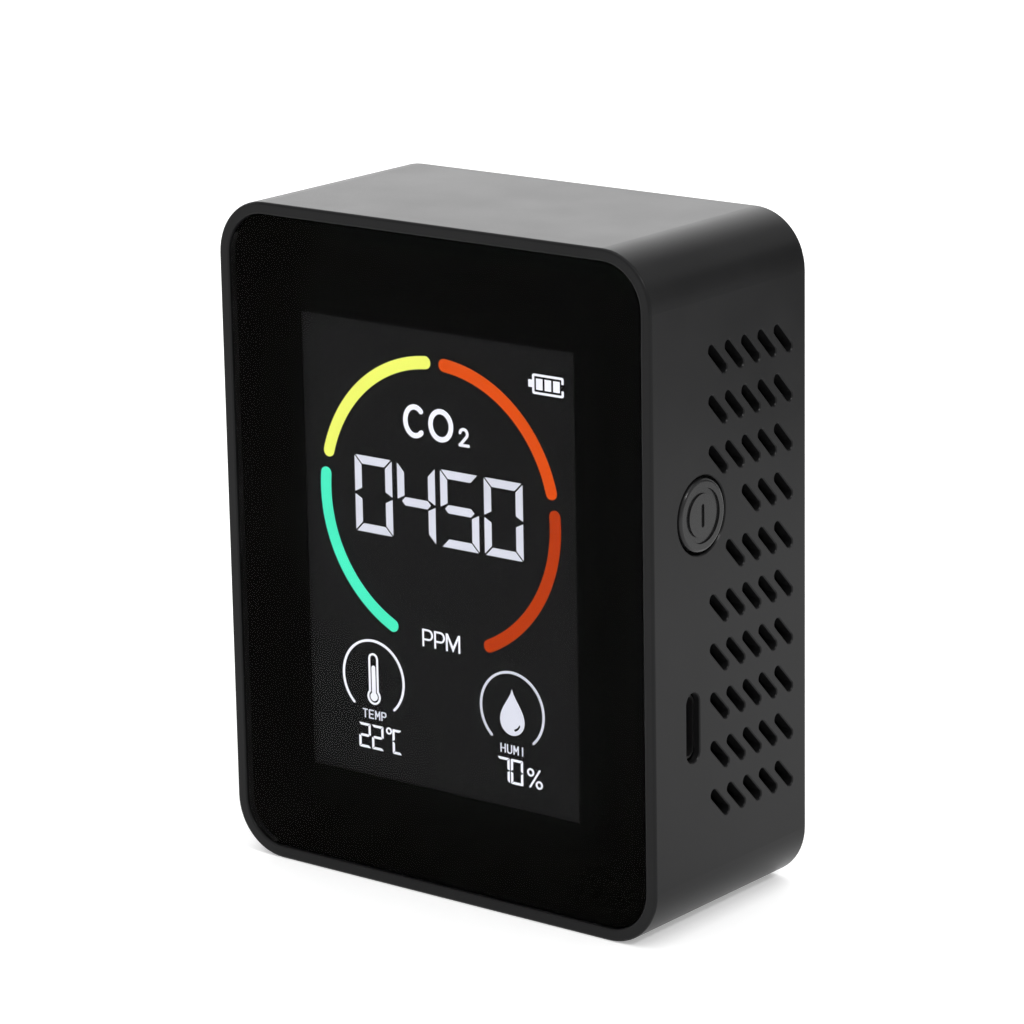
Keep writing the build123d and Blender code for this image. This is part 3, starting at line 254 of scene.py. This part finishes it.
# ---------------------------------------------------------------- rating label, left blank
# The recess in the rear cover, and the sticker that lies in it
RECESS_LOW = Vector((-22, 0, 17)) * MM
RECESS_HIGH = Vector((22, 0, 43)) * MM
RECESS_DEPTH = 0.3 * MM
LABEL_GAP = 0.35 * MM
LABEL_THICKNESS = 0.18 * MM
LABEL_EDGE = 0.06 * MM
LABEL_CORNER = 1.2 * MM
CORNER_STEPS = 8


def outline(low, high, radius):
    """Points round a rectangle with round corners, in X and Z."""
    points = []
    for turn, (x, z) in enumerate(((high.x, high.z), (low.x, high.z), (low.x, low.z), (high.x, low.z))):
        centre = Vector((x, 0, z)) + Vector((-1 if x > 0 else 1, 0, -1 if z == high.z else 1)) * radius
        for step in range(CORNER_STEPS + 1):
            angle = math.pi / 2 * (turn + step / CORNER_STEPS)
            points.append(centre + Vector((math.cos(angle), 0, math.sin(angle))) * radius)
    return points


def rear_label():
    """A thin blank sticker with a bevelled edge."""
    floor_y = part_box("rear_cover")[1][1] - RECESS_DEPTH
    gap = Vector((LABEL_GAP, 0, LABEL_GAP))
    low, high = RECESS_LOW + gap, RECESS_HIGH - gap
    made = bmesh.new()
    loops = []
    for y, inset in ((0, 0), (LABEL_THICKNESS - LABEL_EDGE, 0), (LABEL_THICKNESS, LABEL_EDGE)):
        step_in = Vector((inset, 0, inset))
        ring = outline(low + step_in, high - step_in, LABEL_CORNER - inset)
        loops.append([made.verts.new(point + Vector((0, floor_y + y, 0))) for point in ring])
    made.faces.new(reversed(loops[0]))
    made.faces.new(loops[-1])
    for first, second in zip(loops, loops[1:]):
        for i in range(len(first)):
            j = (i + 1) % len(first)
            made.faces.new((first[i], first[j], second[j], second[i]))
    bmesh.ops.recalc_face_normals(made, faces=made.faces)
    mesh = bpy.data.meshes.new("rear_label")
    made.to_mesh(mesh)
    made.free()
    mesh.materials.append(
        moulded("label_film", (0.019, 0.019, 0.020), 0.48, grain=0.0003, depth=0.000004, spec=0.2)
    )
    label = bpy.data.objects.new("rear_label", mesh)
    scene.collection.objects.link(label)
    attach(label, "case")


rear_label()


# ---------------------------------------------------------------- floor
FLOOR_HALF = 6.0
FLOOR_GLOW = 0.30


def floor():
    """A pale floor; its glow keeps it white and softens the shadow."""
    mesh = bpy.data.meshes.new("floor")
    grid = bmesh.new()
    bmesh.ops.create_grid(grid, x_segments=8, y_segments=8, size=FLOOR_HALF)
    grid.to_mesh(mesh)
    grid.free()
    s = Shader("floor_paint")
    grain = s.noise(0.004, 3)
    s.set(Base_Color=s.blend(grain, (0.86, 0.86, 0.86), (0.88, 0.88, 0.88)))
    s.set(Emission_Color=(1, 1, 1, 1), Emission_Strength=FLOOR_GLOW)
    s.set(Roughness=s.spread(grain, 0.75, 0.85), Specular_IOR_Level=0.1)
    mesh.materials.append(s.material)
    made = bpy.data.objects.new("floor", mesh)
    scene.collection.objects.link(made)


floor()


# ---------------------------------------------------------------- placing lights and camera
# Azimuth 0 is in front of the lens and 90 is on the button's side; angles are in degrees
CASE_MIDDLE = (0, 0, 0.05)


def around(target, azimuth, elevation, distance):
    a, e = math.radians(azimuth), math.radians(elevation)
    back = Vector((math.sin(a) * math.cos(e), -math.cos(a) * math.cos(e), math.sin(e)))
    return Vector(target) + back * distance


def aim(thing, position, target, roll=0.0):
    """Places thing at position, looking along -Z at target, turned by roll degrees."""
    away = (Vector(position) - Vector(target)).normalized()
    right = Vector((0, 0, 1)).cross(away).normalized()
    up = away.cross(right)
    turn = math.radians(roll)
    side = right * math.cos(turn) + up * math.sin(turn)
    top = up * math.cos(turn) - right * math.sin(turn)
    basis = Matrix((side, top, away)).transposed().to_4x4()
    thing.matrix_world = Matrix.Translation(Vector(position)) @ basis


# ---------------------------------------------------------------- light
WORLD_STRENGTH = 0.75


def softbox(name, azimuth, elevation, distance, width, height, radiance):
    """An area light; under an even sky of radiance 1 a floor would show its own colour."""
    light = bpy.data.lights.new(name, "AREA")
    light.shape = "RECTANGLE"
    light.size = width
    light.size_y = height
    light.energy = radiance * width * height * math.pi
    made = bpy.data.objects.new(name, light)
    scene.collection.objects.link(made)
    aim(made, around(CASE_MIDDLE, azimuth, elevation, distance), CASE_MIDDLE)


def flag(name, azimuth, elevation, distance, width, height, target=CASE_MIDDLE):
    """A dark card off camera; it only darkens what the glossy plastic reflects."""
    mesh = bpy.data.meshes.new(name)
    card = bmesh.new()
    corners = ((-1, -1), (1, -1), (1, 1), (-1, 1))
    card.faces.new([card.verts.new((width / 2 * x, height / 2 * y, 0)) for x, y in corners])
    card.to_mesh(mesh)
    card.free()
    s = Shader(name + "_paper")
    grain = s.noise(0.004, 3)
    s.set(Base_Color=s.blend(grain, (0.05, 0.05, 0.05), (0.07, 0.07, 0.07)), Roughness=0.9)
    mesh.materials.append(s.material)
    made = bpy.data.objects.new(name, mesh)
    scene.collection.objects.link(made)
    aim(made, around(target, azimuth, elevation, distance), target)
    for kind in ("camera", "diffuse", "shadow", "transmission"):
        setattr(made, "visible_" + kind, False)


world = bpy.data.worlds.new("studio")
world.use_nodes = True
sky = world.node_tree.nodes["Background"]
sky.inputs["Color"].default_value = (1, 1, 1, 1)
sky.inputs["Strength"].default_value = WORLD_STRENGTH
scene.world = world

softbox("sky_box", azimuth=0, elevation=90, distance=1.2, width=1.6, height=1.6, radiance=1.0)
softbox("back_box", azimuth=217, elevation=22, distance=1.4, width=2.2, height=0.9, radiance=1.38)
softbox("glint_box", azimuth=76, elevation=42, distance=1.0, width=0.08, height=0.08, radiance=130.0)
flag("corner_flag", azimuth=150, elevation=52, distance=0.6, width=0.38, height=0.30)
flag(
    "side_flag", azimuth=142, elevation=0, distance=0.20, width=0.07, height=0.16,
    target=(0.021, 0.029, 0.092),
)


# ---------------------------------------------------------------- camera
CAMERA_TARGET = Vector((-0.77, 0.82, 51.23)) * MM
CAMERA_AZIMUTH = 38.39
CAMERA_ELEVATION = 14.84
CAMERA_DISTANCE = 0.6096
CAMERA_ROLL = -1.02

camera_data = bpy.data.cameras.new("camera")
camera_data.sensor_width = 36.0
camera_data.lens = 154.2
camera_data.clip_start = 0.01
camera = bpy.data.objects.new("camera", camera_data)
scene.collection.objects.link(camera)
camera_place = around(CAMERA_TARGET, CAMERA_AZIMUTH, CAMERA_ELEVATION, CAMERA_DISTANCE)
aim(camera, camera_place, CAMERA_TARGET, CAMERA_ROLL)
scene.camera = camera

scene.view_settings.view_transform = "Standard"
scene.view_settings.look = "None"
